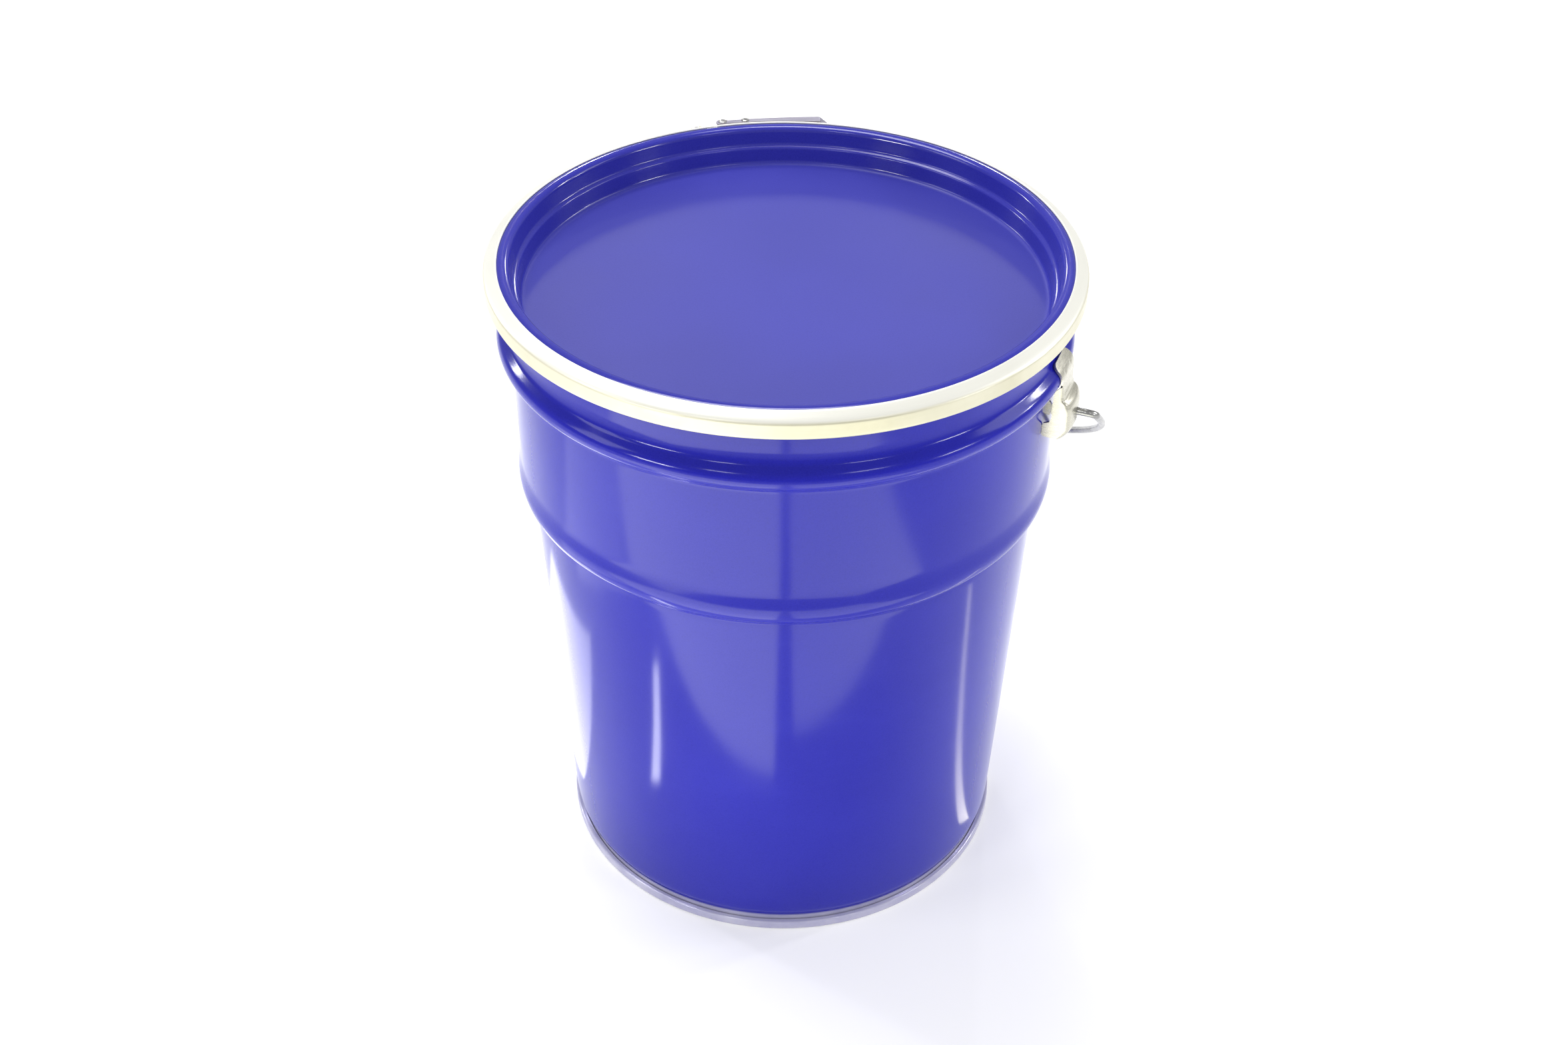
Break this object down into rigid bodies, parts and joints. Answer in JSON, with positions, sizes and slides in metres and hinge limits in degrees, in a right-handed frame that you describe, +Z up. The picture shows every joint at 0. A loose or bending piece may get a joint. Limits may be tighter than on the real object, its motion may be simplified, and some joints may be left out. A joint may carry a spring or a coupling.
{
  "type": "paint can",
  "caption": "open-head steel pail for paint with a pressed lid held by a sprung lock ring and over-centre lever, and a wire bail with a grip on two side ears",
  "frame": {"origin": "centre of the base, on the surface the pail stands on", "axes": "+Z up along the pail's axis, +X through the right ear, so the bail turns about X; +Y towards the back, where the bail hangs and the lock lever sits"},
  "size_m": [0.34, 0.3185, 0.3708],
  "materials": {
    "enamel_body": "gloss blue enamel over rolled sheet steel",
    "enamel_lid": "gloss blue enamel over pressed sheet steel",
    "zinc_ring": "zinc plated band steel",
    "zinc_ear": "zinc plated pressing",
    "steel_pin": "zinc plated rivets and link",
    "steel_wire": "drawn wire, zinc plated",
    "grip_plastic": "moulded black plastic",
    "seal_rubber": "foamed rubber seal"
  },
  "bodies": {
    "pail": {"body_shell": "enamel_body", "bottom_plate": "enamel_body", "bottom_seam_compound": "seal_rubber", "ear_left": "zinc_ear", "ear_right": "zinc_ear"},
    "lid": {"lid": "enamel_lid", "lid_gasket": "seal_rubber"},
    "ring": {"ring_band": "zinc_ring", "ring_bracket_lever": "zinc_ring", "ring_bracket_hook": "zinc_ring", "ring_rivets": "steel_pin"},
    "lever": {"lever": "zinc_ring", "lever_pivot_rivets": "steel_pin", "link_pivot_pin": "steel_pin"},
    "link": {"link": "steel_pin", "link_hook_pin": "steel_pin"},
    "bail": {"bail_wire": "steel_wire", "bail_grip": "grip_plastic"}
  },
  "joints": [
    {"name": "lid_lift", "type": "slide", "parent": "pail", "child": "lid", "axis": [0, 0, 1], "range_m": [0, 0.1]},
    {"name": "ring_lift", "type": "slide", "parent": "pail", "child": "ring", "axis": [0, 0, 1], "range_m": [0, 0.06], "deforming": ["ring_band"]},
    {"name": "lever_swing", "type": "hinge", "parent": "ring", "child": "lever", "pos_m": [-0.08832, 0.13417, 0.3624], "axis": [0, 0, 1], "range_deg": [0, 150]},
    {"name": "link_swing", "type": "hinge", "parent": "lever", "child": "link", "pos_m": [-0.07684, 0.14051, 0.3624], "axis": [0, 0, 1], "range_deg": [-128, 0]},
    {"name": "bail_swing", "type": "hinge", "parent": "pail", "child": "bail", "pos_m": [0, 0, 0.309], "axis": [1, 0, 0], "range_deg": [0, 259]}
  ],
  "couplings": [
    {"joint": "link_swing", "follows": "lever_swing", "ratio": -0.85}
  ]
}
